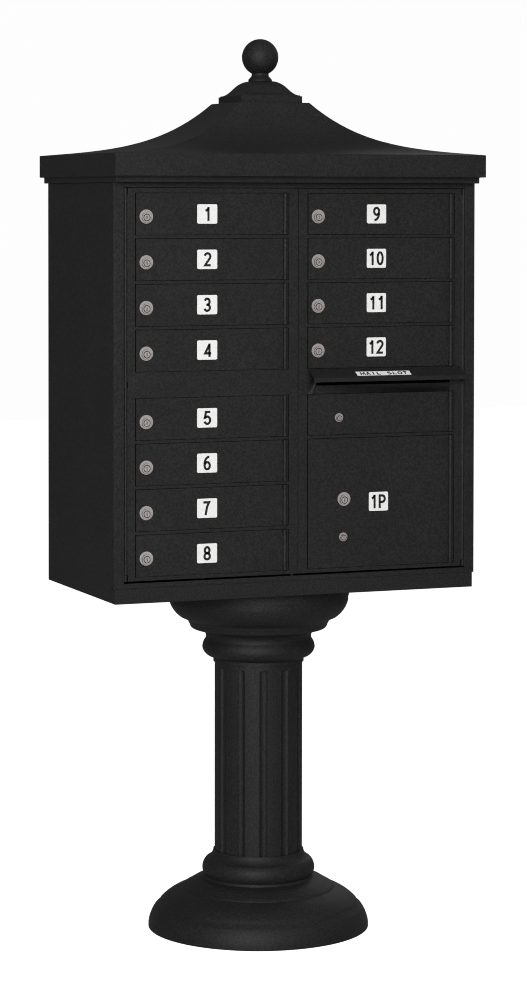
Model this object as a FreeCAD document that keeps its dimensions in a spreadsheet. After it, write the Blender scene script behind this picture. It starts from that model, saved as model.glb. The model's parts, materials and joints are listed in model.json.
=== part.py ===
import FreeCAD, Part
import Sketcher
import math
import os
import re

# Cluster mailbox unit: a sheet-metal cabinet with two master doors on a fluted pedestal.
# Millimetres. X runs to the right, Y to the back, Z up. The origin is on the floor, in the
# middle of the four anchor holes. Levels named *_level are heights above the cabinet's underside.

doc = FreeCAD.newDocument("cluster_mailbox_unit")
sheet = doc.addObject("Spreadsheet::Sheet", "dims")

SIZES = {
    # pedestal
    "pedestal_height": 706,        # floor to the cabinet's underside
    "base_plate_side": 280,
    "base_plate_thick": 9.5,
    "anchor_spacing": 216,
    "anchor_hole_radius": 8.75,
    "post_radius": 57.15,
    "post_wall": 4,
    "top_plate_side": 250,
    "top_plate_thick": 8,
    "bolt_spacing": 180,
    "bolt_radius": 6,
    "bolt_hole_radius": 6.5,
    "bolt_head_radius": 10.8,      # over the corners
    "bolt_head_height": 8,
    "bolt_nut_height": 10,
    "bolt_end": 16,                # bolt's length above the floor pan
    "shaft_radius": 90,
    "shaft_bore_radius": 82,
    "shaft_low": 128,
    "shaft_high": 568,
    "flute_radius": 9.7,
    "flute_depth": 5,
    "flute_high": 537,
    "cover_screw_radius": 4,
    "cover_screw_height": 32,
    "cover_screw_length": 14,
    "cover_screw_end": 219.5,      # screw head's face, from the column's axis
    # cabinet
    "frame_half": 387.5,           # half the width over the face frame
    "panel_half": 384.5,           # half the width over the side panels
    "front_plane": -211.5,
    "back_plane": 211.5,
    "cabinet_height": 821,
    "sheet_thick": 3,
    "shelf_thick": 1.5,
    "flange_width": 21.5,
    "return_depth": 15,
    "jamb_depth": 28,
    "sill_low_level": 30,
    "sill_high_level": 40,
    "header_low_level": 811,
    "shelf_front": -181.5,
    "deck_level": 45,
    "divider_half": 1.5,
    # roof and finial
    "roof_half_width": 395.5,
    "roof_front": -247.5,
    "roof_back": 235.5,
    "lip_half_width": 388.5,
    "lip_front": -231.5,
    "lip_back": 226.5,
    "fascia_low_level": 833,
    "fascia_high_level": 878,
    "roof_rise": 106.5,
    "platform_half": 77.5,
    "roof_flange": 28,
    "roof_screw_radius": 3,
    "roof_screw_side": 10,         # screws from the side panels' inside
    "roof_screw_edge": 20,         # screws from the cabinet's front and back
    "roof_screw_head": 3,
    "cap_half": 66,
    "cap_band": 13.5,
    "ball_radius": 37.3,
    "ball_level": 1078.6,
    "finial_neck_radius": 17.5,
    "finial_stud_radius": 5,
    "finial_stud_length": 25,
    # master doors
    "master_low_level": 44,
    "master_high_level": 810,
    "stile_outer": 358,            # outer edge of a master door, from the middle
    "stile_inner": 343,
    "mullion_half": 19.8,
    "seam_half": 0.5,
    "master_depth": 14,
    "rail_recess": 0.4,
    "rail_gap": 0.8,
    "rail_thick": 6,
    "hinge_strip_depth": 10,
    "master_pin_x": 362.5,
    "master_pin_y": -210.5,
    "master_pin_radius": 1.4,
    "master_knuckle_radius": 2.8,
    "master_knuckle_end": 12,      # length of each fixed knuckle
    # small doors
    "door_height": 81,
    "door_pitch": 88.9,
    "upper_door_top_level": 800,
    "lower_door_top_level": 400,
    "left_column_x": -341.2,
    "right_column_x": 21.6,
    "parcel_low_level": 52.4,
    "parcel_high_level": 311.1,
    "door_thick": 3.2,
    "pin_x": 312.6,                # hinge pin from the door's left edge
    "pin_y": -0.5,
    "pin_radius": 1.5,
    "knuckle_radius": 4.2,
    "knuckle_end": 8,
    "plate_edge": 4.7,             # door plate's edge, from the pin
    "leaf_inner": 4.6,             # hinge leaf, from the pin
    "leaf_outer": 7.4,
    "leaf_thick": 2,
    "label_x": 147.5,
    "label_width": 42,
    "label_height": 38,
    "label_thick": 0.8,
    "label_corner": 3,
    # locks
    "lock_x": 20.7,
    "lock_drop": 6.8,              # plug centre below the door's middle
    "bezel_radius": 13.75,
    "bezel_lift": 1.8,             # bezel centre above the plug
    "boss_radius": 9.5,
    "plug_radius": 5.75,
    "small_bezel_radius": 8.75,
    "small_boss_radius": 6.6,
    "small_plug_radius": 4.2,
    "bezel_thick": 1.6,
    "boss_height": 5,
    "ring_width": 1.5,             # sunk ring round the plug
    "ring_depth": 1.4,
    "barrel_depth": 15,
    "plug_clearance": 0.05,
    "keyway_width": 1.6,
    "cam_thick": 2.2,
    "cam_width": 12,
    "cam_overlap": 8,              # how far a turned cam passes behind its catch
    "strike_x": 36.4,              # end of the catch brackets, from a right-column door's edge
    "strike_depth": 6,
    "outgoing_strike_low_level": 335,
    "outgoing_strike_high_level": 370,
    "parcel_strike_low_level": 95,
    "parcel_strike_high_level": 210,
    "nut_thick": 4,
    "outgoing_lock_x": 66.4,
    "outgoing_lock_level": 351.6,
    "stud_x": 30,                  # studs round the outgoing lock
    "stud_z": 20,
    "stud_radius": 2.2,
    "stud_height": 1,
    "parcel_lock_x": 77.4,
    "parcel_lock_level": 187.5,
    "parcel_second_x": 75.9,
    "parcel_second_level": 112.2,
    "parcel_label_x": 153.1,
    "parcel_label_level": 182,
    # mail slot
    "slot_left": 39,
    "slot_right": 332,
    "slot_low_level": 418,
    "slot_high_level": 430,
    "hood_left": 22,
    "hood_right": 354,
    "hood_reach": 30,
    "hood_top_level": 451.5,
    "hood_edge_level": 434,
    "hood_lip_level": 425.7,
    "hood_thick": 2,
    "strip_left": 118,
    "strip_width": 118,
    "strip_height": 14,
    "strip_drop": 29,              # lower edge of the strip down the slope
    # master latch
    "latch_half": 5,
    "latch_front": -186,
    "latch_back": -182.5,
    "latch_low_level": 80,
    "latch_high_level": 745,
    "latch_travel": 8,
    "latch_tab_end": 50,
    "latch_tab_low_level": 365,
    "latch_tab_high_level": 385,
    "guide_low_level": 170,
    "guide_high_level": 645,
    "guide_height": 14,
    "guide_gap": 0.4,
    "guide_thick": 1.6,
    "keeper_inner": 6.5,
    "keeper_outer": 16,
    "keeper_thick": 4,
    "keeper_lip": 10,
    "keeper_back": -186,
    "keeper_lip_thick": 2,
    "finger_front": 6,             # fingers' front and back, ahead of the keepers' backs
    "finger_back": 3.5,
    "finger_foot": 26,             # drops below a keeper: crossbar, finger's foot and top
    "finger_low": 19,
    "finger_top": 11.5,
}
ROW_OF = {}


def add_cell(alias, value):
    """Write one size into the sheet and give its cell the alias."""
    row = len(ROW_OF) + 1
    ROW_OF[alias] = row
    sheet.set(f"A{row}", alias)
    sheet.set(f"B{row}", str(value))
    sheet.setAlias(f"B{row}", alias)


for size_name, size_value in SIZES.items():
    add_cell(size_name, size_value)
doc.recompute()

NODES = []
TURN = {
    "x": FreeCAD.Rotation(FreeCAD.Vector(0, 1, 0), 90),
    "y": FreeCAD.Rotation(FreeCAD.Vector(1, 0, 0), -90),
    "z": FreeCAD.Rotation(),
}


# ---------------------------------------------------------------- helpers

def size(alias):
    return float(sheet.get(alias))


def cells(text):
    """Turn plain size names in a formula into references to the sheet."""
    def refer(match):
        word = match.group(0)
        return "dims." + word if word in ROW_OF else word
    return re.sub(r"[a-z][a-z_0-9]*", refer, str(text))


def place(item, x="0", y="0", z="0"):
    for axis, text in zip("xyz", (x, y, z)):
        item.setExpression("Placement.Base." + axis, cells(text))
    return item


def box(x, y, z):
    """A block between the low and high formulas of each axis."""
    item = doc.addObject("Part::Box", "block")
    for prop, (low, high) in zip(("Length", "Width", "Height"), (x, y, z)):
        item.setExpression(prop, cells(f"({high}) - ({low})"))
    return place(item, x[0], y[0], z[0])


def rod(radius, length, x="0", y="0", z="0", along="z"):
    item = doc.addObject("Part::Cylinder", "rod")
    item.Placement = FreeCAD.Placement(FreeCAD.Vector(), TURN[along])
    item.setExpression("Radius", cells(radius))
    item.setExpression("Height", cells(length))
    return place(item, x, y, z)


def hexagon(radius, length, x="0", y="0", z="0", along="z"):
    item = doc.addObject("Part::Prism", "hexagon")
    item.Polygon = 6
    item.Placement = FreeCAD.Placement(FreeCAD.Vector(), TURN[along])
    item.setExpression("Circumradius", cells(radius))
    item.setExpression("Height", cells(length))
    return place(item, x, y, z)


def across(side, inner, outer):
    """Low and high X formulas of a span on the left (-1) or the right (+1) of the middle."""
    pair = (f"{side}*({inner})", f"{side}*({outer})")
    return pair if side > 0 else pair[::-1]


def compound(parts):
    item = doc.addObject("Part::Compound", "group")
    item.Links = parts
    return item


def fuse(*parts):
    item = doc.addObject("Part::MultiFuse", "joined")
    item.Shapes = list(parts)
    return item


def cut(base, *tools):
    """Take one or more separate tools away from a base."""
    item = doc.addObject("Part::Cut", "cut")
    item.Base = base
    item.Tool = tools[0] if len(tools) == 1 else compound(list(tools))
    return item


def node(label, *solids):
    """Name a sub-part: one object, or a group of separate solids."""
    item = solids[0] if len(solids) == 1 else compound(list(solids))
    item.Label = label
    NODES.append(item)
    return item


def origin_plane(body, role):
    return next(item for item in body.Origin.OriginFeatures if item.Role == role)


def outline_sketch(body, role, tag, start, steps):
    """Closed outline of lines (u, v) and arcs (mid u, mid v, u, v); the sheet holds its corners."""
    sketch = body.newObject("Sketcher::SketchObject", tag + "_outline")
    sketch.AttachmentSupport = [(origin_plane(body, role), "")]
    sketch.MapMode = "FlatFace"
    corners = [start] + [step[-2:] for step in steps[:-1]]
    vectors = [FreeCAD.Vector(u, v, 0) for u, v in corners]
    first_points = []
    for number, step in enumerate(steps):
        low, high = vectors[number], vectors[(number + 1) % len(vectors)]
        if len(step) == 4:
            curve = Part.Arc(low, FreeCAD.Vector(step[0], step[1], 0), high)
        else:
            curve = Part.LineSegment(low, high)
        sketch.addGeometry(curve, False)
        forward = sketch.getPoint(number, 1).distanceToPoint(low) < 1e-6
        first_points.append((1, 2) if forward else (2, 1))
    for number, (u, v) in enumerate(corners):
        before = (number - 1) % len(corners)
        begin, end = first_points[number][0], first_points[before][1]
        sketch.addConstraint(Sketcher.Constraint("Coincident", before, end, number, begin))
        for kind, value, letter, axis in (("DistanceX", u, "u", -2), ("DistanceY", v, "v", -1)):
            if abs(value) < 1e-9:
                sketch.addConstraint(Sketcher.Constraint("PointOnObject", number, begin, axis))
                continue
            alias = f"{tag}_{letter}_{number:02d}"
            add_cell(alias, value)
            index = sketch.addConstraint(
                Sketcher.Constraint(kind, -1, 1, number, begin, value))
            sketch.renameConstraint(index, alias)
            sketch.setExpression("Constraints." + alias, "dims." + alias)
        if len(steps[number]) == 4:
            radius = sketch.Geometry[number].Radius
            sketch.addConstraint(Sketcher.Constraint("Radius", number, radius))
    return sketch


def turned(tag, start, steps):
    """A body turned about the Z axis from an outline of radius and height."""
    body = doc.addObject("PartDesign::Body", tag + "_body")
    sketch = outline_sketch(body, "XZ_Plane", tag, start, steps)
    doc.recompute()
    turn = body.newObject("PartDesign::Revolution", tag + "_turn")
    turn.Profile = sketch
    turn.ReferenceAxis = (sketch, ["V_Axis"])
    turn.Angle = 360
    sketch.Visibility = False
    body.Tip = turn
    return body


def hip_solid(half_x, half_y, curve, base):
    """Square-cornered curved hip form: curve lists (inset share 0 to 1, height, top half width)."""
    sides = []
    for half in (half_x, half_y):
        right = [FreeCAD.Vector(half + (top - half) * share, 0, height) for share, height, top in curve]
        left = [FreeCAD.Vector(-point.x, 0, point.z) for point in right]
        slopes = []
        for points in (right, left):
            spline = Part.BSplineCurve()
            spline.interpolate(points)
            slopes.append(spline.toShape())
        edges = [slopes[0], Part.makeLine(right[-1], left[-1]), slopes[1]]
        edges.append(Part.makeLine(left[0], right[0]))
        face = Part.Face(Part.Wire(Part.__sortEdges__(edges)))
        sides.append(face)
    long_way = sides[0].extrude(FreeCAD.Vector(0, 4 * half_y, 0))
    long_way.translate(FreeCAD.Vector(0, -2 * half_y, 0))
    short_way = sides[1].extrude(FreeCAD.Vector(0, 4 * half_x, 0))
    short_way.translate(FreeCAD.Vector(0, -2 * half_x, 0))
    short_way.rotate(FreeCAD.Vector(), FreeCAD.Vector(0, 0, 1), 90)
    solid = long_way.common(short_way)
    solid.translate(FreeCAD.Vector(0, 0, base))
    return solid


def level(name):
    """Height above the floor of a level given from the cabinet's underside."""
    return f"(pedestal_height + {name})"


# ---------------------------------------------------------------- pedestal

def corners_of(spacing):
    return [(f"{sx}*{spacing}/2", f"{sy}*{spacing}/2") for sx in (-1, 1) for sy in (-1, 1)]


def square_plate(side, low, high):
    half = f"{side}/2"
    return box((f"-{half}", half), (f"-{half}", half), (low, high))


def build_pedestal():
    plate = square_plate("base_plate_side", "0", "base_plate_thick")
    holes = [rod("anchor_hole_radius", "base_plate_thick + 2", x, y, "-1")
             for x, y in corners_of("anchor_spacing")]
    node("pedestal_base_plate", cut(plate, *holes))

    length = "pedestal_height - top_plate_thick - base_plate_thick"
    node("pedestal_post", cut(
        rod("post_radius", length, z="base_plate_thick"),
        rod("post_radius - post_wall", length + " + 2", z="base_plate_thick - 1")))

    low = "pedestal_height - top_plate_thick"
    holes = [rod("bolt_hole_radius", "top_plate_thick + 2", x, y, low + " - 1")
             for x, y in corners_of("bolt_spacing")]
    node("pedestal_top_plate", cut(square_plate("top_plate_side", low, "pedestal_height"), *holes))

    bolts = []
    for x, y in corners_of("bolt_spacing"):
        head = hexagon("bolt_head_radius", "bolt_head_height", x, y, low + " - bolt_head_height")
        shank = rod("bolt_radius", "top_plate_thick + sheet_thick + bolt_end", x, y, low)
        bolts.append(fuse(head, shank))
        pan_top = "pedestal_height + sheet_thick"
        nut = hexagon("bolt_head_radius", "bolt_nut_height", x, y, pan_top)
        thread = rod("bolt_radius + 0.02", "bolt_nut_height + 2", x, y, pan_top + " - 1")
        bolts.append(cut(nut, thread))
    node("cabinet_bolts", *bolts)

    shaft = cut(rod("shaft_radius", "shaft_high - shaft_low", z="shaft_low"),
                rod("shaft_bore_radius", "shaft_high - shaft_low + 2", z="shaft_low - 1"))
    flutes = []
    for number in range(12):
        angle = 15 + 30 * number
        reach = "(shaft_radius + flute_radius - flute_depth)"
        flutes.append(rod("flute_radius", "flute_high - shaft_low + 1",
                          f"{reach}*sin({angle} deg)", f"{reach}*cos({angle} deg)", "shaft_low - 1"))
    node("fluted_column", cut(shaft, *flutes))


def build_capital():
    """Bell-shaped capital between the column and the cabinet's underside, open inside."""
    outer = [
        (93, 555), (97, 557), (111.5, 566, 115.8, 576), (113.8, 586, 109, 594),
        (108.4, 600, 110.5, 606), (112.5, 609), (134, 615.5), (139, 618, 141.5, 623),
        (146, 632), (148.5, 634.5), (162, 640.5), (174, 652, 184.5, 674),
        (184.5, 684), (186, 684), (186, 706)]
    inner = [(183, 706), (183, 687), (169, 651), (143, 634), (136, 622), (108, 612), (104, 606),
             (104, 572), (90.3, 562), (90.3, 547), (93, 547)]
    node("column_capital", turned("capital", (93, 547), outer + inner))


def build_base_cover():
    """Moulded cover round the foot of the column, open inside, with a screw on each side."""
    outer = [
        (226.5, 8), (222, 25, 213, 41), (205, 47.5), (203, 52), (190, 63.5, 170, 75),
        (156, 80.5), (154, 84), (143.5, 90, 133, 96.5), (113, 101.5), (111, 106),
        (115.4, 122.9, 107, 140), (97, 147.5, 92.7, 158.5)]
    inner = [(90.3, 158.5), (90.3, 150), (104, 137), (104, 98), (124, 93), (148, 76), (172, 68),
             (196, 49), (206, 41), (221, 0), (226.5, 0)]
    cover = turned("base_cover", (226.5, 0), outer + inner)
    screws = cover_screw_rods("cover_screw_radius", "0")
    node("column_base_cover", cut(cover, *cover_screw_rods("cover_screw_radius + 0.1", "5")))
    node("cover_screws", *screws)


def cover_screw_rods(radius, margin):
    """A rod from inside the base cover to its face on each side, longer by a margin at both ends."""
    length = f"cover_screw_length + 2*{margin}"
    starts = (f"-(cover_screw_end + {margin})", f"cover_screw_end - cover_screw_length - {margin}")
    return [rod(radius, length, start, "0", "cover_screw_height", "x") for start in starts]


# ---------------------------------------------------------------- cabinet

FLOOR = "pedestal_height"
INNER_HALF = "(panel_half - sheet_thick)"


def build_floor_pan():
    plate = box(("-" + INNER_HALF, INNER_HALF),
                ("front_plane + sheet_thick", "back_plane - sheet_thick"),
                (FLOOR, FLOOR + " + sheet_thick"))
    holes = [rod("bolt_hole_radius", "sheet_thick + 2", x, y, FLOOR + " - 1")
             for x, y in corners_of("bolt_spacing")]
    band = box(("-panel_half", "panel_half"), ("front_plane + 1", "front_plane + sheet_thick"),
               (FLOOR, level("sill_low_level")))
    node("floor_pan", cut(plate, *holes), band)


def build_shell():
    full = (FLOOR, level("cabinet_height"))
    for name, side in (("left", -1), ("right", 1)):
        x = across(side, INNER_HALF, "panel_half")
        node(name + "_side_panel", box(x, ("front_plane + sheet_thick", "back_plane"), full))
    width = ("-" + INNER_HALF, INNER_HALF)
    node("back_panel", box(width, ("back_plane - sheet_thick", "back_plane"), full))
    top = box(width, ("front_plane + sheet_thick", "back_plane - sheet_thick"),
              (level("cabinet_height - sheet_thick"), level("cabinet_height")))
    node("cabinet_top", cut(top, *roof_screw_rods("roof_screw_radius + 0.2", "-6", "12")))


def roof_screw_rods(radius, start, length):
    """Four rods through the cabinet top, near its corners."""
    rods = []
    for sx in (-1, 1):
        for y in ("front_plane + roof_screw_edge", "back_plane - roof_screw_edge"):
            rods.append(rod(radius, length, f"{sx}*({INNER_HALF} - roof_screw_side)", y,
                            level("cabinet_height") + " + " + start))
    return rods


def build_face_frame():
    front = ("front_plane", "front_plane + sheet_thick")
    tall = (level("sill_low_level"), level("cabinet_height"))
    blocks = []
    for side in (-1, 1):
        flange = "frame_half - flange_width"
        blocks.append(box(across(side, flange, "frame_half"), front, tall))
        blocks.append(box(across(side, "panel_half", "frame_half"),
                          ("front_plane + sheet_thick", "front_plane + return_depth"), tall))
        blocks.append(box(across(side, flange, flange + " + sheet_thick"),
                          ("front_plane + sheet_thick", "front_plane + jamb_depth"),
                          (level("sill_high_level"), level("header_low_level"))))
    inside = ("-(frame_half - flange_width)", "frame_half - flange_width")
    flush = ("front_plane + rail_recess", "front_plane + sheet_thick")
    blocks.append(box(inside, flush, (level("header_low_level"), level("cabinet_height"))))
    blocks.append(box(inside, flush, (level("sill_low_level"), level("sill_high_level"))))
    node("face_frame", *blocks)


def shelf_levels(top, count):
    """Levels half-way between small doors stacked down from a top level."""
    middle = "(door_pitch - door_height)/2"
    return [f"({top} - {number}*door_pitch + {middle})" for number in range(1, count + 1)]


def build_shelves():
    upper = shelf_levels("upper_door_top_level", 4)
    lower = shelf_levels("lower_door_top_level", 3)
    columns = {
        "left_shelves": ("-" + INNER_HALF, "-divider_half", upper + lower + ["deck_level"]),
        "right_shelves": ("divider_half", INNER_HALF, upper + lower[:1] + ["deck_level"]),
    }
    for name, (left, right, heights) in columns.items():
        plates = [box((left, right), ("shelf_front", "back_plane - sheet_thick"),
                      (level(f"{height} - shelf_thick/2"), level(f"{height} + shelf_thick/2")))
                  for height in heights]
        node(name, *plates)


def build_divider():
    wall = box(("-divider_half", "divider_half"), ("shelf_front", "back_plane - sheet_thick"),
               (level("0") + " + sheet_thick", level("cabinet_height - sheet_thick")))
    guides = []
    inner, outer = "latch_half + guide_gap", "latch_half + guide_gap + guide_thick"
    back, front = "shelf_front + 6", "latch_front - guide_gap"
    for height in ("guide_low_level", "guide_high_level"):
        z = (level(height), level(height + " + guide_height"))
        guides.append(box((f"-({outer})", outer), (front + " - guide_thick", front), z))
        for side in (-1, 1):
            guides.append(box(across(side, inner, outer), (front, back), z))
            guides.append(box(across(side, "divider_half", inner), ("shelf_front", back), z))
    node("centre_divider", wall, *guides)


# ---------------------------------------------------------------- roof and finial

def roof_height(share):
    """Share of the roof's rise at a share of the way in from the eaves."""
    return 0.25 * share + 0.75 * share ** 3.5


def build_roof():
    fascia = box(("-roof_half_width", "roof_half_width"), ("roof_front", "roof_back"),
                 (level("fascia_low_level"), level("fascia_high_level")))
    lip = box(("-lip_half_width", "lip_half_width"), ("lip_front", "lip_back"),
              (level("cabinet_height"), level("fascia_low_level")))
    inner_fascia = box(
        ("-(roof_half_width - sheet_thick)", "roof_half_width - sheet_thick"),
        ("roof_front + sheet_thick", "roof_back - sheet_thick"),
        (level("fascia_low_level + sheet_thick"), level("fascia_high_level + 1")))
    inner_lip = box(
        ("-(lip_half_width - sheet_thick)", "lip_half_width - sheet_thick"),
        ("lip_front + sheet_thick", "lip_back - sheet_thick"),
        (level("cabinet_height + sheet_thick"), level("fascia_low_level + sheet_thick + 1")))
    mouth = box(
        ("-(lip_half_width - roof_flange)", "lip_half_width - roof_flange"),
        ("lip_front + roof_flange + 20", "lip_back - roof_flange - 15"),
        (level("cabinet_height - 1"), level("cabinet_height + sheet_thick + 1")))
    hollow = fuse(inner_fascia, inner_lip, mouth)
    holes = roof_screw_rods("roof_screw_radius + 0.2", "-6", "12")
    node("roof_fascia", cut(cut(fuse(fascia, lip), hollow), *holes))

    screws = []
    heads = roof_screw_rods("roof_screw_radius*1.9", "-sheet_thick - roof_screw_head", "roof_screw_head")
    shanks = roof_screw_rods("roof_screw_radius", "-sheet_thick", "sheet_thick*2 + 2")
    for head, shank in zip(heads, shanks):
        screws.append(fuse(head, shank))
    node("roof_screws", *screws)

    half_x = size("roof_half_width")
    half_y = (size("roof_back") - size("roof_front")) / 2
    centre_y = (size("roof_back") + size("roof_front")) / 2
    top = size("platform_half")
    curve = [(share, size("roof_rise") * roof_height(share), top)
             for share in (0, 0.15, 0.3, 0.45, 0.6, 0.7, 0.8, 0.9, 1)]
    outer = hip_solid(half_x, half_y, curve, 0)
    hollow = outer.copy()
    hollow.translate(FreeCAD.Vector(0, 0, -size("sheet_thick")))
    roof = doc.addObject("Part::Feature", "pagoda_roof")
    roof.Shape = outer.cut(hollow)
    place(roof, "0", str(centre_y), level("fascia_high_level"))
    node("roof_shell", roof)

    platform = level("fascia_high_level + roof_rise")
    place(build_cap(), "0", str(centre_y), platform)
    place(build_ball(), "0", str(centre_y), platform)


OGEE = [(60, 2), (50, 8.5), (38, 22), (30, 28), (20, 31.5)]     # half widths and heights over the band


def build_cap():
    """Square cap of the finial: a band, a thin step and an ogee, bored for the ball's stud."""
    band, half = size("cap_band"), size("cap_half")
    widest, step_height = OGEE[0]
    narrowest = OGEE[-1][0]
    curve = [((widest - width) / (widest - narrowest), height - step_height, narrowest)
             for width, height in OGEE]
    ogee = hip_solid(widest, widest, curve, band + step_height)
    step_half = widest + 3
    step = Part.makeBox(2 * step_half, 2 * step_half, step_height,
                        FreeCAD.Vector(-step_half, -step_half, band))
    block = Part.makeBox(2 * half, 2 * half, band, FreeCAD.Vector(-half, -half, 0))
    stud_hole = Part.makeCylinder(size("finial_stud_radius") + 0.05, band + OGEE[-1][1] + 10,
                                  FreeCAD.Vector(0, 0, -5))
    cap = doc.addObject("Part::Feature", "ogee_cap")
    cap.Shape = block.fuse([step, ogee]).removeSplitter().cut(stud_hole)
    return node("finial_cap", cap)


def build_ball():
    """Ball of the finial on a flared neck, with a stud down into the cap."""
    foot = size("cap_band") + OGEE[-1][1]
    centre = size("ball_level") - size("fascia_high_level") - size("roof_rise")
    radius, neck = size("ball_radius"), size("finial_neck_radius")
    drop = math.sqrt(radius ** 2 - neck ** 2)
    stud, stud_end = size("finial_stud_radius"), foot - size("finial_stud_length")
    flare = [(24, foot), (24.5, foot + 3), (18.5, foot + 10), (neck, foot + 12)]
    outline = [(stud, stud_end), (stud, foot)] + flare
    outline += [(neck, centre - drop), (radius, centre, 0, centre + radius), (0, stud_end)]
    return node("finial_ball", turned("finial", (0, stud_end), outline))


# ---------------------------------------------------------------- master doors

MASTER_Y = ("front_plane", "front_plane + master_depth")
RAIL_Y = ("front_plane + rail_recess", "front_plane + rail_recess + rail_thick")
MASTER_Z = (level("master_low_level"), level("master_high_level"))
KEEPER_LEVELS = (715, 430, 130)


def rail(x, low, high):
    """A rail between two small doors, clear of both."""
    return box(x, RAIL_Y, (level(f"{low} + rail_gap"), level(f"{high} - rail_gap")))


def master_blocks(side):
    """Stiles, top and bottom rails, hinge strip and latch keepers of one master door."""
    column = "left_column_x" if side < 0 else "right_column_x"
    if side < 0:
        stiles = [("-stile_outer", "-stile_inner"), ("-mullion_half", "-seam_half")]
        inside = ("-stile_inner", "-mullion_half")
    else:
        stiles = [("seam_half", "mullion_half"), ("stile_inner", "stile_outer")]
        inside = ("mullion_half", "stile_inner")
    blocks = [box(x, MASTER_Y, MASTER_Z) for x in stiles]
    top = (level("upper_door_top_level + rail_gap"), level("master_high_level"))
    bottom = (level("master_low_level"), level("parcel_low_level - rail_gap"))
    for z in (top, bottom):
        blocks.append(box(inside, (RAIL_Y[0], MASTER_Y[1]), z))
    strip = (f"{column} + pin_x + leaf_inner + 0.4", inside[1])
    between = (level("parcel_low_level - rail_gap"), level("upper_door_top_level + rail_gap"))
    blocks.append(box(strip, (RAIL_Y[1], "front_plane + hinge_strip_depth"), between))
    for height in KEEPER_LEVELS:
        x = across(side, "keeper_inner", "keeper_outer")
        blocks.append(box(x, (MASTER_Y[1], "keeper_back"),
                          (level(f"{height}"), level(f"{height} + keeper_thick"))))
        blocks.append(box(x, ("keeper_back - keeper_lip_thick", "keeper_back"),
                          (level(f"{height} - keeper_lip"), level(f"{height}"))))
    return blocks, inside


def master_knuckles(side):
    """Fixed hinge of one master door with its pin, and the two moving knuckles between its three."""
    pin = f"{side}*master_pin_x"
    base = level("master_low_level")
    tall = "(master_high_level - master_low_level)"
    end = "master_knuckle_end"
    ends = [("0", end), (f"({tall} - {end})/2", f"({tall} + {end})/2"), (f"({tall} - {end})", tall)]
    web_y = ("master_pin_y - 1", "master_pin_y + 1")
    fixed = [rod("master_pin_radius", tall, pin, "master_pin_y", base)]
    for low, high in ends:
        fixed.append(rod("master_knuckle_radius", end, pin, "master_pin_y", f"{base} + {low}"))
        fixed.append(box(across(side, "master_pin_x", "frame_half - flange_width"), web_y,
                         (f"{base} + {low}", f"{base} + {high}")))
    moving = []
    for (_, low), (high, _) in zip(ends, ends[1:]):
        low, high = f"{base} + {low} + 0.5", f"{base} + {high} - 0.5"
        length = f"({high}) - ({low})"
        barrel = rod("master_knuckle_radius", length, pin, "master_pin_y", low)
        web = box(across(side, "stile_outer", "master_pin_x"), web_y, (low, high))
        bore = rod("master_pin_radius + 0.05", length + " + 2", pin, "master_pin_y", low + " - 1")
        moving.append(cut(fuse(barrel, web), bore))
    return fuse(*fixed), moving


def door_hinge(column, low, high):
    """Fixed half of a small door's hinge: pin, two end knuckles and a leaf."""
    x, y = f"{column} + pin_x", "front_plane + pin_y"
    pieces = [rod("pin_radius", f"({high}) - ({low})", x, y, level(low)),
              box((f"{x} + leaf_inner", f"{x} + leaf_outer"), RAIL_Y, (level(low), level(high)))]
    web_y = (RAIL_Y[0], "front_plane + leaf_thick")
    for start in (low, f"{high} - knuckle_end"):
        pieces.append(rod("knuckle_radius", "knuckle_end", x, y, level(start)))
        pieces.append(box((x, f"{x} + leaf_inner"), web_y,
                          (level(start), level(f"{start} + knuckle_end"))))
    return fuse(*pieces)


def upper_low(number):
    return f"(upper_door_top_level - {number}*door_pitch - door_height)"


def lower_low(number):
    return f"(lower_door_top_level - {number}*door_pitch - door_height)"


LEFT_LOWS = [upper_low(number) for number in range(4)] + [lower_low(number) for number in range(4)]
RIGHT_LOWS = [upper_low(number) for number in range(4)]


def between_doors(lows):
    """Rails between doors stacked downwards, as (low, high) pairs."""
    return [(f"{below} + door_height", above) for above, below in zip(lows, lows[1:])]


def build_left_master():
    blocks, inside = master_blocks(-1)
    for low, high in between_doors(LEFT_LOWS):
        blocks.append(rail(inside, low, high))
    hinge, moving = master_knuckles(-1)
    node("left_master_frame", *blocks, *moving)
    node("left_master_hinge", hinge)
    hinges = [door_hinge("left_column_x", low, f"({low} + door_height)") for low in LEFT_LOWS]
    node("left_door_hinges", *hinges)


def build_right_master():
    blocks, inside = master_blocks(1)
    for low, high in between_doors(RIGHT_LOWS):
        blocks.append(rail(inside, low, high))
    blocks.append(rail(inside, "parcel_high_level", lower_low(0)))
    top, bottom = f"({RIGHT_LOWS[-1]} - rail_gap)", "(lower_door_top_level + rail_gap)"
    for x in ((inside[0], "slot_left"), ("slot_right", inside[1])):
        blocks.append(box(x, RAIL_Y, (level(bottom), level(top))))
    for low, high in ((bottom, "slot_low_level"), ("slot_high_level", top)):
        blocks.append(box(("slot_left", "slot_right"), RAIL_Y, (level(low), level(high))))
    for name in ("outgoing", "parcel"):
        blocks.append(box(("mullion_half", "right_column_x + strike_x"),
                          (MASTER_Y[1] + " - strike_depth", MASTER_Y[1]),
                          (level(name + "_strike_low_level"), level(name + "_strike_high_level"))))
    hinge, moving = master_knuckles(1)
    node("right_master_frame", *blocks, *moving)
    node("right_master_hinge", hinge)
    spans = [(low, f"({low} + door_height)") for low in RIGHT_LOWS + [lower_low(0)]]
    spans.append(("parcel_low_level", "parcel_high_level"))
    node("right_door_hinges", *[door_hinge("right_column_x", low, high) for low, high in spans])


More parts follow.
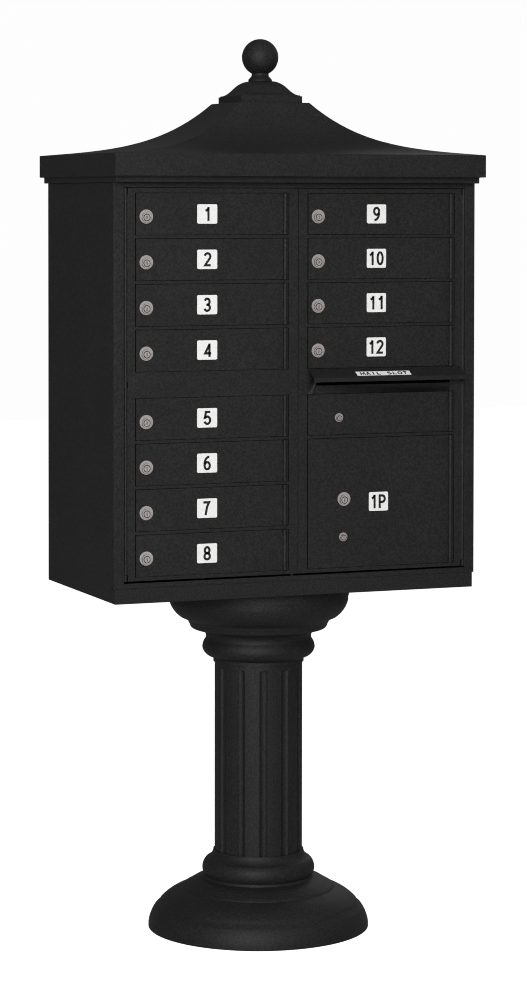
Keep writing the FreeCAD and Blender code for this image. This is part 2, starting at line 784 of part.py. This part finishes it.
def build_hood():
    """Folded rain hood over the mail slot, notched over the outer stile, and its white strip."""
    front = size("front_plane") + size("rail_recess")
    reach, thick = size("hood_reach"), size("hood_thick")
    base = size("pedestal_height")
    top, edge = base + size("hood_top_level"), base + size("hood_edge_level")
    lip = base + size("hood_lip_level")
    slope = math.atan2(top - edge, reach)
    down = thick / math.cos(slope)
    nose = front - reach
    fold = edge - down + thick * math.tan(slope)
    outline = [(nose, edge), (nose, lip), (nose + thick, lip), (nose + thick, fold),
               (front, top - down), (front, top)]
    body = doc.addObject("PartDesign::Body", "hood_body")
    sketch = outline_sketch(body, "YZ_Plane", "hood", (front, top), outline)
    doc.recompute()
    pad = body.newObject("PartDesign::Pad", "hood_pad")
    pad.Profile = sketch
    pad.setExpression("Length", cells("hood_right - hood_left"))
    sketch.Visibility = False
    body.Tip = pad
    place(body, "hood_left")
    stile = box(("stile_inner", "hood_right + 1"), ("front_plane", "front_plane + 2"),
                (level("hood_lip_level - 1"), level("hood_top_level + 1")))
    node("mail_slot_hood", cut(body, stile))

    strip = doc.addObject("Part::Box", "strip")
    strip.Placement = FreeCAD.Placement(
        FreeCAD.Vector(), FreeCAD.Rotation(FreeCAD.Vector(1, 0, 0), math.degrees(slope)))
    strip.setExpression("Length", cells("strip_width"))
    strip.setExpression("Width", cells("strip_height"))
    strip.setExpression("Height", cells("label_thick"))
    drop = size("strip_drop")
    place(strip, "strip_left", str(front - drop * math.cos(slope)),
          str(top - drop * math.sin(slope)))
    node("mail_slot_label", strip)


# ---------------------------------------------------------------- small doors and locks

def number_label(x, z):
    """White number plate with round corners, standing on the door's front."""
    plate = box((f"{x} - label_width/2", f"{x} + label_width/2"), ("-label_thick", "0"),
                (f"{z} - label_height/2", f"{z} + label_height/2"))
    doc.recompute()
    corner = size("label_corner")
    edges = [(number, corner, corner) for number, edge in enumerate(plate.Shape.Edges, 1)
             if abs(edge.tangentAt(edge.FirstParameter).y) > 0.9]
    rounded = doc.addObject("Part::Fillet", "number_label")
    rounded.Base = plate
    rounded.Edges = edges
    return rounded


def lock_barrel(x, z, kind):
    """Lock barrel with its bezel, and its nut behind the door, about a lock axis at x, z."""
    lift = f"bezel_lift*{kind}bezel_radius/bezel_radius"
    bezel = rod(f"{kind}bezel_radius", "bezel_thick", x, "-bezel_thick", f"{z} + {lift}", "y")
    boss = rod(f"{kind}boss_radius", "boss_height", x, "-boss_height", z, "y")
    body = rod(f"{kind}boss_radius - 0.1", "barrel_depth", x, "0", z, "y")
    bore = rod(f"{kind}plug_radius + plug_clearance", "boss_height + barrel_depth + 2",
               x, "-boss_height - 1", z, "y")
    ring = rod(f"{kind}plug_radius + ring_width", "ring_depth + 1", x, "-boss_height - 1", z, "y")
    nut = hexagon(f"{kind}boss_radius*1.45", "nut_thick", x, "door_thick", z, "y")
    nut_hole = rod(f"{kind}boss_radius - 0.1", "nut_thick + 2", x, "door_thick - 1", z, "y")
    return [cut(cut(fuse(bezel, boss, body), bore), ring), cut(nut, nut_hole)]


def mail_door(label, column, low, height, locks, label_spot, studs=()):
    """One hinged door, measured from its low left corner: locks lists (x, z, kind) and studs (x, z)."""
    edge = "pin_x - plate_edge"
    gap = "knuckle_end + 0.5"
    tall = f"{height} - 2*({gap})"
    plate = box(("0", edge), ("0", "door_thick"), ("0", height))
    web = box((edge, "pin_x"), ("0", "door_thick"), (gap, f"{height} - ({gap})"))
    knuckle = rod("knuckle_radius", tall, "pin_x", "pin_y", gap)
    stems = [rod("stud_radius", "stud_height + 1", x, "-stud_height", z, "y") for x, z in studs]
    holes = [rod("pin_radius + 0.05", tall + " + 2", "pin_x", "pin_y", gap + " - 1")]
    for x, z, kind in locks:
        holes.append(rod(f"{kind}boss_radius", "door_thick + 2", x, "-1", z, "y"))
    solids = [cut(fuse(plate, web, knuckle, *stems), *holes)]
    for x, z, kind in locks:
        solids += lock_barrel(x, z, kind)
    if label_spot:
        solids.append(number_label(*label_spot))
    door = node(label, *solids)
    place(door, column, "front_plane", level(low))


def lock_plug(label, x, z, kind, cam_reach, turn):
    """Turning plug with its keyway, cam and cam screw; turn is +1 for a cam that rests upwards."""
    core = rod(f"{kind}plug_radius", "boss_height + barrel_depth + 1.3",
               "0", "-boss_height - 0.3", "0", "y")
    key_half = f"{kind}plug_radius*0.62"
    keyway = box(("-keyway_width/2", "keyway_width/2"),
                 ("-boss_height - 1", "-boss_height + 6"), ("-" + key_half, key_half))
    start = "barrel_depth + 1"
    ends = ("0", cam_reach) if turn > 0 else (f"-({cam_reach})", "0")
    blade = box(("-cam_width/2", "cam_width/2"), (start, start + " + cam_thick"), ends)
    hub = rod("cam_width/2", "cam_thick", "0", start, "0", "y")
    screw = hexagon("3.6", "2.4", "0", start + " + cam_thick", "0", "y")
    lock = node(label, cut(core, keyway), fuse(blade, hub), screw)
    place(lock, x, "front_plane", z)


def build_small_doors():
    middle = "door_height/2"
    spot = ("label_x", middle)
    lock_height = "door_height/2 - lock_drop"
    reach = "lock_x + 1.8 + cam_overlap"
    doors = [("left_column_x", low) for low in LEFT_LOWS]
    doors += [("right_column_x", low) for low in RIGHT_LOWS]
    for number, (column, low) in enumerate(doors, 1):
        mail_door(f"door_{number:02d}", column, low, "door_height",
                  [("lock_x", lock_height, "")], spot)
        lock_plug(f"lock_{number:02d}", f"{column} + lock_x", level(f"{low} + {lock_height}"),
                  "", reach, 1)

    low = lower_low(0)
    column = "right_column_x"
    lock_z = f"outgoing_lock_level - {low}"
    studs = [(f"outgoing_lock_x + {sx}*stud_x", f"{lock_z} + {sz}*stud_z")
             for sx in (-1, 1) for sz in (-1, 1)]
    mail_door("outgoing_door", column, low, "door_height",
              [("outgoing_lock_x", lock_z, "small_")], None, studs)
    lock_plug("outgoing_lock", f"{column} + outgoing_lock_x", level("outgoing_lock_level"),
              "small_", "outgoing_lock_x - strike_x + cam_overlap", 1)

    locks = [("parcel_lock_x", "parcel_lock_level - parcel_low_level", ""),
             ("parcel_second_x", "parcel_second_level - parcel_low_level", "small_")]
    mail_door("parcel_door", column, "parcel_low_level", "(parcel_high_level - parcel_low_level)",
              locks, ("parcel_label_x", "parcel_label_level - parcel_low_level"))
    lock_plug("parcel_lock", f"{column} + parcel_lock_x", level("parcel_lock_level"), "",
              "parcel_lock_x - strike_x + cam_overlap", 1)
    lock_plug("parcel_carrier_lock", f"{column} + parcel_second_x", level("parcel_second_level"),
              "small_", "parcel_second_x - strike_x + cam_overlap", -1)


def build_latch():
    """Sliding bar on the divider whose fingers rise in front of the master doors' keepers."""
    bar = box(("-latch_half", "latch_half"), ("latch_front", "latch_back"),
              (level("latch_low_level"), level("latch_high_level")))
    pieces = [bar]
    front, reach = "keeper_back - finger_front", "keeper_outer - 1"
    for height in KEEPER_LEVELS:
        foot, low, top = [level(f"{height} - finger_{name}") for name in ("foot", "low", "top")]
        pieces.append(box((f"-({reach})", reach), (front, "latch_front"), (foot, low)))
        for side in (-1, 1):
            pieces.append(box(across(side, "keeper_inner + 0.5", reach),
                              (front, "keeper_back - finger_back"), (low, top)))
    pieces.append(box(("latch_half", "latch_tab_end"), ("latch_front", "latch_back"),
                      (level("latch_tab_low_level"), level("latch_tab_high_level"))))
    node("master_latch", *pieces)


build_pedestal()
build_capital()
build_base_cover()
build_floor_pan()
build_shell()
build_face_frame()
build_shelves()
build_divider()
build_roof()
build_left_master()
build_right_master()
build_hood()
build_small_doors()
build_latch()
doc.recompute()

problems = [f"{item.Label}: {item.State}" for item in doc.Objects
            if "Invalid" in item.State or "Error" in item.State]
for item in NODES:
    if item.Shape.isNull() or not item.Shape.isValid() or not item.Shape.Solids:
        problems.append(item.Label + ": shape is not valid")
if problems:
    raise RuntimeError("; ".join(problems))

os.makedirs("parts", exist_ok=True)
for item in NODES:
    item.Shape.exportStep(f"parts/{item.Label}.step")
print(len(NODES), "nodes,", sum(len(item.Shape.Solids) for item in NODES), "solids")
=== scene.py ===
import json
import math

import bpy
from mathutils import Euler, Matrix, Vector


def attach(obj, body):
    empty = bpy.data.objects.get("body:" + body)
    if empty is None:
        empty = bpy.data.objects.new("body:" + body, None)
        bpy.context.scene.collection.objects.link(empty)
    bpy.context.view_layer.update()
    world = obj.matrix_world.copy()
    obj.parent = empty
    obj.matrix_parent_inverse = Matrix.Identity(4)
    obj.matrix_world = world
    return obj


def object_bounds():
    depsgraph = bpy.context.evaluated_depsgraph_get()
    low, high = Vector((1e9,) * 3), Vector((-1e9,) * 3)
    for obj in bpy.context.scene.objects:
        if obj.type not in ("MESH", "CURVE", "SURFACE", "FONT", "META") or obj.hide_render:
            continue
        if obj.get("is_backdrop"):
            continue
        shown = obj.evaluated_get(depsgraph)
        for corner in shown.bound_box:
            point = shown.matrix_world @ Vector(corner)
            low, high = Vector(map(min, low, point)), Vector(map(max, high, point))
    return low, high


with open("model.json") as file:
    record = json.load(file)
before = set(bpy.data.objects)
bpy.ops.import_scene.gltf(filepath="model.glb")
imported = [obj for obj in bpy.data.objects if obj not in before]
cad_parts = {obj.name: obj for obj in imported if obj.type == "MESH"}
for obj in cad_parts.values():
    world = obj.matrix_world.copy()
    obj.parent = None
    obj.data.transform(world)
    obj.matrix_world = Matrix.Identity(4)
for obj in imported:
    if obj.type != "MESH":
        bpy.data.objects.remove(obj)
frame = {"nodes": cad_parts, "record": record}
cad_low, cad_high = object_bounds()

# Cluster mailbox unit. Metres, in the CAD's frame: X right, Y back, Z up, origin on the floor.
scene = bpy.context.scene
nodes = frame["nodes"]
MM = 0.001
DOOR_FACE = -211.5 * MM              # Y of the small doors' fronts
INK_LIFT = 0.02 * MM                 # ink over the plate it is printed on
INK_FILM = 0.12 * MM
DIGIT_HEIGHT = 27.5 * MM
STRIP_THICK = 0.8 * MM
STRIP_LETTER_HEIGHT = 10 * MM


# ---------------------------------------------------------------- materials

MIX_COLOR_A, MIX_COLOR_B, MIX_COLOR_RESULT = 6, 7, 2     # a Mix node's colour sockets
NOISE_LOW, NOISE_HIGH = 0.3, 0.7     # most of a noise texture's values lie between these
NOISE_ROUGHNESS = 0.55


class Graph:
    """A material's node tree with short ways to add and join nodes."""

    def __init__(self, name):
        self.material = bpy.data.materials.new(name)
        self.material.use_nodes = True
        self.tree = self.material.node_tree
        self.shader = next(n for n in self.tree.nodes if n.type == "BSDF_PRINCIPLED")

    def set(self, **values):
        for socket, value in values.items():
            self.shader.inputs[socket.replace("_", " ")].default_value = value

    def add(self, kind, inputs=None, **settings):
        item = self.tree.nodes.new(kind)
        for key, value in settings.items():
            setattr(item, key, value)
        for key, value in (inputs or {}).items():
            item.inputs[key].default_value = value
        return item

    def link(self, source, target, socket):
        self.tree.links.new(source, target.inputs[socket])

    def position(self):
        return self.add("ShaderNodeTexCoord").outputs["Object"]

    def noise(self, scale, detail=2.0, stretch=(1, 1, 1)):
        """Noise over the object's own coordinates; the scale is in features per metre."""
        mapping = self.add("ShaderNodeMapping", {"Scale": stretch})
        self.link(self.position(), mapping, "Vector")
        grain = {"Scale": scale, "Detail": detail, "Roughness": NOISE_ROUGHNESS}
        texture = self.add("ShaderNodeTexNoise", grain)
        self.link(mapping.outputs["Vector"], texture, "Vector")
        return texture.outputs["Fac"]

    def ramp(self, source, low, high, low_at=0.35, high_at=0.65):
        ramp = self.add("ShaderNodeValToRGB")
        first, last = ramp.color_ramp.elements
        first.position, first.color = low_at, (*low, 1)
        last.position, last.color = high_at, (*high, 1)
        self.link(source, ramp, "Fac")
        return ramp.outputs["Color"]

    def spread(self, source, low, high):
        """Noise mapped to a range of plain values."""
        span = {"From Min": NOISE_LOW, "From Max": NOISE_HIGH, "To Min": low, "To Max": high}
        item = self.add("ShaderNodeMapRange", span)
        self.link(source, item, "Value")
        return item.outputs["Result"]

    def multiply(self, first, second):
        item = self.add("ShaderNodeMix", {"Factor": 1.0}, data_type="RGBA", blend_type="MULTIPLY")
        self.link(first, item, MIX_COLOR_A)
        self.link(second, item, MIX_COLOR_B)
        return item.outputs[MIX_COLOR_RESULT]

    def bump(self, source, distance, strength=1.0, under=None):
        item = self.add("ShaderNodeBump", {"Strength": strength, "Distance": distance})
        self.link(source, item, "Height")
        if under is not None:
            self.link(under, item, "Normal")
        return item.outputs["Normal"]


def powder_coat():
    """Black powder coat: a fine speckle over a little mottling, orange peel and uneven gloss."""
    g = Graph("black_powder_coat")
    cloud = g.ramp(g.noise(9, 3), (0.0087, 0.0081, 0.0080), (0.0111, 0.0103, 0.0102))
    speckle = g.ramp(g.noise(290, 4), (0.40, 0.40, 0.40), (1.7, 1.7, 1.7), 0.40, 0.62)
    g.link(g.multiply(cloud, speckle), g.shader, "Base Color")
    g.link(g.spread(g.noise(420, 3), 0.56, 0.70), g.shader, "Roughness")
    peel = g.bump(g.noise(600, 3), 0.00012, 0.8)
    g.link(g.bump(g.noise(2600, 1), 0.00003, 0.5, peel), g.shader, "Normal")
    g.set(IOR=1.45, Specular_IOR_Level=0.44)
    return g.material


def lock_nickel():
    """Satin nickel with turning marks and faint handling marks."""
    g = Graph("lock_nickel")
    g.link(g.ramp(g.noise(700, 3), (0.56, 0.51, 0.50), (0.80, 0.74, 0.725)), g.shader, "Base Color")
    g.link(g.spread(g.noise(1500, 2), 0.26, 0.42), g.shader, "Roughness")
    g.link(g.bump(g.noise(2500, 2, (1, 0.2, 1)), 0.00003, 0.4), g.shader, "Normal")
    g.set(Metallic=0.6)
    return g.material


def lock_recess():
    """Dark nickel for a lock's ring, keyway and step: painted shade in the recesses."""
    g = Graph("lock_recess")
    g.link(g.ramp(g.noise(900, 3), (0.012, 0.010, 0.010), (0.040, 0.034, 0.033)), g.shader, "Base Color")
    g.link(g.spread(g.noise(1500, 2), 0.5, 0.7), g.shader, "Roughness")
    g.set(Metallic=0.4)
    return g.material


def plate_white():
    """Bright white printed plate with a faint skin texture."""
    g = Graph("label_white")
    g.link(g.ramp(g.noise(120, 3), (0.93, 0.93, 0.92), (0.97, 0.97, 0.96)), g.shader, "Base Color")
    g.link(g.spread(g.noise(300, 2), 0.30, 0.42), g.shader, "Roughness")
    g.link(g.bump(g.noise(1800, 1), 0.00002, 0.4), g.shader, "Normal")
    return g.material


def print_black():
    """Black ink with a slightly uneven film."""
    g = Graph("print_black")
    g.link(g.ramp(g.noise(1500, 2), (0.004, 0.004, 0.004), (0.009, 0.009, 0.009)), g.shader, "Base Color")
    g.link(g.spread(g.noise(2500, 2), 0.45, 0.6), g.shader, "Roughness")
    return g.material


def zinc_steel():
    """Zinc-plated steel with soft spangle."""
    g = Graph("zinc_steel")
    g.link(g.ramp(g.noise(160, 4), (0.34, 0.35, 0.37), (0.55, 0.56, 0.57)), g.shader, "Base Color")
    g.link(g.spread(g.noise(240, 3), 0.32, 0.5), g.shader, "Roughness")
    g.link(g.bump(g.noise(900, 2), 0.00004, 0.4), g.shader, "Normal")
    g.set(Metallic=1.0)
    return g.material


def mill_aluminium():
    """Rolled aluminium sheet with lengthwise rolling lines."""
    g = Graph("bare_aluminium")
    lines = g.noise(500, 3, (0.04, 1, 1))
    g.link(g.ramp(g.noise(14, 3), (0.50, 0.51, 0.52), (0.63, 0.64, 0.65)), g.shader, "Base Color")
    g.link(g.spread(lines, 0.36, 0.5), g.shader, "Roughness")
    g.link(g.bump(lines, 0.00004, 0.4), g.shader, "Normal")
    g.set(Metallic=1.0)
    return g.material


MATERIALS = {
    "black_powder_coat": powder_coat(),
    "lock_nickel": lock_nickel(),
    "label_white": plate_white(),
    "zinc_steel": zinc_steel(),
    "bare_aluminium": mill_aluminium(),
}
# dark nickel used as painted shade in the locks' recesses
PAINTED_SHADE = lock_recess()
PRINT = print_black()
SLOT_OF = {row["node"]: row["material_slot"] for row in frame["record"]["subparts"]}


# ---------------------------------------------------------------- CAD nodes: edges and finish

BEVELS = {"fine": 0.35 * MM, "sheet": 0.7 * MM, "folded": 1.6 * MM}
FOLDED = ("roof_fascia", "roof_shell", "finial_cap", "mail_slot_hood")
SHEETS = ("face_frame", "left_side_panel", "right_side_panel", "back_panel", "floor_pan",
          "cabinet_top")
JOIN = 0.01 * MM                     # corners closer than this are one corner
SHARP = math.radians(35)             # edges turning more than this are rounded
EDGE_STEPS = 2


def soften(item, width):
    """Join the mesh's doubled corners, round its sharp edges and even out the shading."""
    weld = item.modifiers.new("join_corners", "WELD")
    weld.merge_threshold = JOIN
    bevel = item.modifiers.new("round_edges", "BEVEL")
    bevel.width = width
    bevel.segments = EDGE_STEPS
    bevel.limit_method = "ANGLE"
    bevel.angle_limit = SHARP
    bevel.use_clamp_overlap = True
    bevel.miter_outer = "MITER_SHARP"
    even = item.modifiers.new("even_normals", "WEIGHTED_NORMAL")
    even.keep_sharp = True
    for polygon in item.data.polygons:
        polygon.use_smooth = True


def islands(mesh):
    """Faces grouped into the separate solids of a mesh."""
    parent = list(range(len(mesh.vertices)))

    def root(index):
        while parent[index] != index:
            parent[index] = parent[parent[index]]
            index = parent[index]
        return index

    places = {}
    for vertex in mesh.vertices:
        key = tuple(round(value / JOIN) for value in vertex.co)
        parent[root(vertex.index)] = root(places.setdefault(key, vertex.index))
    for polygon in mesh.polygons:
        first = root(polygon.vertices[0])
        for index in polygon.vertices[1:]:
            parent[root(index)] = first
    groups = {}
    for polygon in mesh.polygons:
        groups.setdefault(root(polygon.vertices[0]), []).append(polygon)
    return list(groups.values())


def extent(mesh, faces):
    """Low and high corners of the box round some of a mesh's faces."""
    points = [mesh.vertices[index].co for face in faces for index in face.vertices]
    low = Vector([min(point[axis] for point in points) for axis in range(3)])
    high = Vector([max(point[axis] for point in points) for axis in range(3)])
    return low, high


PANEL, NICKEL, PLATE, SHADE_SLOT = range(4)        # material places on a small door's mesh; the last holds painted shade
PLUG_SHADE_DEPTHS = (-2 * MM, 5.2 * MM)              # ahead of the doors' fronts: where a plug gets painted shade and where a barrel does
BARREL_SHADE_DEPTHS = (1.8 * MM, 4.8 * MM)         # and of a barrel
PANEL_SPAN = 200 * MM                        # only a door's panel is wider
PLATE_DEPTH = 1.5 * MM                       # only a number plate is thinner


def is_ahead(mesh, face, near, far):
    """True for a face whose middle stands between two distances ahead of the small doors' fronts."""
    points = [mesh.vertices[index].co.y for index in face.vertices]
    ahead = DOOR_FACE - sum(points) / len(points)
    return near < ahead < far


def paint_plug(item):
    """A lock node is nickel, with painted shade on the plug's keyway and side."""
    mesh = item.data
    mesh.materials.clear()
    mesh.materials.append(MATERIALS["lock_nickel"])
    mesh.materials.append(PAINTED_SHADE)
    for face in mesh.polygons:
        # painted shade on the plug's keyway and side
        face.material_index = int(is_ahead(mesh, face, *PLUG_SHADE_DEPTHS))


def paint_door(item):
    """Give a door's panel, lock barrels with nuts, and number plate each its own finish, with painted
    shade in the barrels' rings and steps.
    """
    mesh = item.data
    mesh.materials.clear()
    for name in ("black_powder_coat", "lock_nickel", "label_white"):
        mesh.materials.append(MATERIALS[name])
    mesh.materials.append(PAINTED_SHADE)
    plate = None
    for faces in islands(mesh):
        low, high = extent(mesh, faces)
        span = high - low
        if span.x > PANEL_SPAN:
            index = PANEL
        elif span.y < PLATE_DEPTH:
            index, plate = PLATE, (low, high)
        else:
            index = NICKEL
        for face in faces:
            # painted shade on a barrel's sunk ring and step
            in_shade = index == NICKEL and is_ahead(mesh, face, *BARREL_SHADE_DEPTHS)
            face.material_index = SHADE_SLOT if in_shade else index
    return plate


def edge_width(name):
    if name in FOLDED:
        return BEVELS["folded"]
    return BEVELS["sheet"] if name in SHEETS else BEVELS["fine"]


def is_small_door(name):
    return name.startswith("door_") or name in ("outgoing_door", "parcel_door")


PAINTED_OVER = ("cover_screws",)     # plated screws, coated together with the cover
PLATES = {}
for name, item in nodes.items():
    if is_small_door(name):
        PLATES[name] = paint_door(item)
    elif SLOT_OF[name] == "lock_nickel":
        paint_plug(item)
    else:
        item.data.materials.clear()
        finish = "black_powder_coat" if name in PAINTED_OVER else SLOT_OF[name]
        item.data.materials.append(MATERIALS[finish])
    soften(item, edge_width(name))


# ---------------------------------------------------------------- printed numbers

ROUND = 16                           # steps in half a turn
SHORTEST_BOW = 3                     # steps in the shortest curve
MITRE_LIMIT = 0.5                    # keeps a sharp corner's point short


def bow(x, y, width, height, start, stop):
    """Points along part of an ellipse, between two angles in degrees."""
    count = max(SHORTEST_BOW, int(ROUND * abs(stop - start) / 180))
    angles = [math.radians(start + (stop - start) * step / count) for step in range(count + 1)]
    return [(x + width * math.cos(angle), y + height * math.sin(angle)) for angle in angles]


def ring(x, y, width, height):
    return bow(x, y, width, height, 0, 360)


# Each character is a set of strokes, drawn along their middle in a box 0.56 wide and 1 high.
STROKES = {
    "0": [ring(0.28, 0.50, 0.20, 0.43)],
    "1": [[(0.34, 0.0), (0.34, 0.99)], [(0.12, 0.72), (0.25, 0.80), (0.36, 0.96)]],
    "2": [bow(0.28, 0.71, 0.21, 0.22, 170, -38) + [(0.09, 0.075), (0.52, 0.075)]],
    "3": [bow(0.27, 0.71, 0.185, 0.22, 160, -90) + [(0.22, 0.49)],
          [(0.22, 0.52)] + bow(0.27, 0.285, 0.21, 0.22, 90, -160)],
    "4": [[(0.52, 0.26), (0.06, 0.26), (0.39, 0.90)], [(0.39, 0.0), (0.39, 0.96)]],
    "5": [[(0.49, 0.92), (0.15, 0.92), (0.10, 0.50)] + bow(0.26, 0.33, 0.22, 0.26, 140, -160)],
    "6": [ring(0.28, 0.31, 0.20, 0.25), bow(0.42, 0.40, 0.34, 0.54, 175, 85)],
    "7": [[(0.05, 0.92), (0.49, 0.92), (0.33, 0.60), (0.22, 0.0)]],
    "8": [ring(0.28, 0.72, 0.175, 0.215), ring(0.28, 0.285, 0.205, 0.22)],
    "9": [ring(0.28, 0.69, 0.20, 0.25), bow(0.14, 0.60, 0.34, 0.54, -5, -95)],
    "A": [[(0.02, 0.0), (0.28, 0.92), (0.54, 0.0)], [(0.14, 0.28), (0.42, 0.28)]],
    "I": [[(0.28, 0.0), (0.28, 0.92)]],
    "L": [[(0.10, 0.92), (0.10, 0.07), (0.52, 0.07)]],
    "M": [[(0.00, 0.0), (0.00, 0.92), (0.28, 0.28), (0.56, 0.92), (0.56, 0.0)]],
    "O": [ring(0.28, 0.46, 0.26, 0.42)],
    "P": [[(0.09, 0.0), (0.09, 0.92), (0.30, 0.92)] + bow(0.30, 0.685, 0.19, 0.235, 90, -90)
          + [(0.09, 0.45)]],
    "S": [bow(0.28, 0.68, 0.21, 0.20, 35, 270) + bow(0.28, 0.27, 0.22, 0.21, 90, -150)],
    "T": [[(0.02, 0.86), (0.54, 0.86)], [(0.28, 0.0), (0.28, 0.86)]],
    " ": [],
}


def ribbon(points, width):
    """Left and right edges of a stroke of even width, with mitred corners."""
    edges = []
    for index, (x, y) in enumerate(points):
        ahead = points[min(index + 1, len(points) - 1)]
        behind = points[max(index - 1, 0)]
        into = Vector((x - behind[0], y - behind[1]))
        out = Vector((ahead[0] - x, ahead[1] - y))
        into = into.normalized() if into.length else out.normalized()
        out = out.normalized() if out.length else into
        along = (into + out).normalized()
        side = Vector((-along.y, along.x)) * (width / 2) / max(MITRE_LIMIT, along.dot(into))
        edges.append(((x + side.x, y + side.y), (x - side.x, y - side.y)))
    return edges


UPRIGHT = (math.pi / 2, 0, 0)


def print_text(name, text, centre, height, body,
               turn=UPRIGHT, weight=0.17, pitch=0.66, stretch=1.0):
    """Printed characters as thin raised ink, centred on a point; sizes are shares of the height."""
    points, faces = [], []
    for order, letter in enumerate(text):
        for stroke in STROKES[letter]:
            first = len(points)
            wide = [(x * stretch, y) for x, y in stroke]
            for left, right in ribbon(wide, weight):
                points += [(x + order * pitch, y) for x, y in (left, right)]
            for step in range(len(stroke) - 1):
                low = first + 2 * step
                faces.append((low, low + 1, low + 3, low + 2))
    middle_x = (max(x for x, y in points) + min(x for x, y in points)) / 2
    mesh = bpy.data.meshes.new(name)
    flat = [((x - middle_x) * height, (y - 0.5) * height, 0) for x, y in points]
    mesh.from_pydata(flat, [], faces)
    mesh.materials.append(PRINT)
    item = bpy.data.objects.new(name, mesh)
    scene.collection.objects.link(item)
    film = item.modifiers.new("film", "SOLIDIFY")
    film.thickness = INK_FILM
    film.offset = 1
    item.matrix_world = Matrix.Translation(centre) @ Euler(turn).to_matrix().to_4x4()
    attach(item, body)
    return item


for name, plate in PLATES.items():
    if plate is None:
        continue
    low, high = plate
    text = "1P" if name == "parcel_door" else str(int(name[-2:]))
    centre = Vector(((low.x + high.x) / 2, low.y - INK_LIFT, (low.z + high.z) / 2))
    print_text(name + "_number", text, centre, DIGIT_HEIGHT, name)


def print_strip():
    """Generic wording along the middle of the sloping strip on the hood."""
    mesh = nodes["mail_slot_label"].data
    face = max(mesh.polygons, key=lambda polygon: polygon.normal.z * polygon.area)
    low, high = extent(mesh, mesh.polygons)
    slope = math.atan2(-face.normal.y, face.normal.z)
    lift = (STRIP_THICK / 2 + INK_LIFT) * face.normal
    print_text("mail_slot_wording", "MAIL SLOT", (low + high) / 2 + lift, STRIP_LETTER_HEIGHT,
               "right_master_door", (slope, 0, 0), weight=0.27, pitch=1.16, stretch=1.5)


print_strip()


# ---------------------------------------------------------------- floor, light and camera

FLOOR_HALF = 14.0
FLOOR_BASE = 0.55
FLOOR_GLOW = 0.93                    # seen by the camera only, so it lights nothing
WORLD_FILL = 0.14
BACKDROP = 0.985


def plain_floor():
    """Plain pale floor that looks nearly white to the camera."""
    mesh = bpy.data.meshes.new("floor")
    signs = ((-1, -1), (1, -1), (1, 1), (-1, 1))
    corners = [Vector((x * FLOOR_HALF, y * FLOOR_HALF, 0)) for x, y in signs]
    mesh.from_pydata(corners, [], [(0, 1, 2, 3)])
    floor = bpy.data.objects.new("floor", mesh)
    scene.collection.objects.link(floor)
    g = Graph("floor_white")
    g.set(Base_Color=(FLOOR_BASE, FLOOR_BASE, FLOOR_BASE, 1), Roughness=0.9)
    seen = g.add("ShaderNodeEmission", {"Color": (1, 1, 1, 1), "Strength": FLOOR_GLOW})
    both = g.add("ShaderNodeAddShader")
    pick = g.add("ShaderNodeMixShader")
    output = next(n for n in g.tree.nodes if n.type == "OUTPUT_MATERIAL")
    g.link(g.shader.outputs[0], both, 0)
    g.link(seen.outputs[0], both, 1)
    g.link(g.add("ShaderNodeLightPath").outputs["Is Camera Ray"], pick, 0)
    g.link(g.shader.outputs[0], pick, 1)
    g.link(both.outputs[0], pick, 2)
    g.link(pick.outputs[0], output, "Surface")
    mesh.materials.append(g.material)
    floor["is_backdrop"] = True


def soft_light(name, location, side, power):
    """A square soft box aimed at the middle of the unit."""
    data = bpy.data.lights.new(name, "AREA")
    data.shape = "RECTANGLE"
    data.size, data.size_y = side, side
    data.energy = power
    lamp = bpy.data.objects.new(name, data)
    lamp.location = location
    middle = (cad_low + cad_high) / 2
    lamp.rotation_euler = (middle - Vector(location)).to_track_quat("-Z", "Y").to_euler()
    scene.collection.objects.link(lamp)


def studio_world():
    """Soft fill all round, with a plain white backdrop behind the object."""
    world = bpy.data.worlds.new("studio")
    world.use_nodes = True
    tree = world.node_tree
    background = tree.nodes["Background"]
    background.inputs["Color"].default_value = (1, 1, 1, 1)
    path = tree.nodes.new("ShaderNodeLightPath")
    level = tree.nodes.new("ShaderNodeMapRange")
    level.inputs["To Min"].default_value = WORLD_FILL
    level.inputs["To Max"].default_value = BACKDROP
    tree.links.new(path.outputs["Is Camera Ray"], level.inputs["Value"])
    tree.links.new(level.outputs["Result"], background.inputs["Strength"])
    scene.world = world


SENSOR, LENS, SHIFT = 36, 108.5, -0.20      # millimetres; the shift is a share of the picture's height
AZIMUTH, PITCH, ROLL = math.radians(21.87), math.radians(1.79), math.radians(0.06)
EYE = Vector((-2.278, -5.701, 1.484))


def camera():
    """Three-quarter view from the front left, at the height of the small doors' top row."""
    data = bpy.data.cameras.new("camera")
    data.sensor_width = SENSOR
    data.lens = LENS
    data.shift_y = SHIFT
    item = bpy.data.objects.new("camera", data)
    scene.collection.objects.link(item)
    turn = Euler((math.pi / 2 - PITCH, 0, -AZIMUTH)).to_matrix() @ Matrix.Rotation(ROLL, 3, "Z")
    item.matrix_world = Matrix.Translation(EYE) @ turn.to_4x4()
    scene.camera = item


# Name: place, side of the square in metres, watts.
LIGHTS = {
    "key": ((-2.65, -4.6, 2.4), 2.4, 215),
    "fill": ((3.4, -1.6, 3.0), 2.0, 15),
    "top": ((-0.3, -1.2, 4.4), 2.6, 14),
    "rear": ((3.2, 3.6, 2.8), 2.4, 20),
}

plain_floor()
studio_world()
for name, (location, side, power) in LIGHTS.items():
    soft_light(name, location, side, power)
camera()
scene.view_settings.view_transform = "Standard"
scene.cycles.filter_width = 1.05     # crisp edges

low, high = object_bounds()
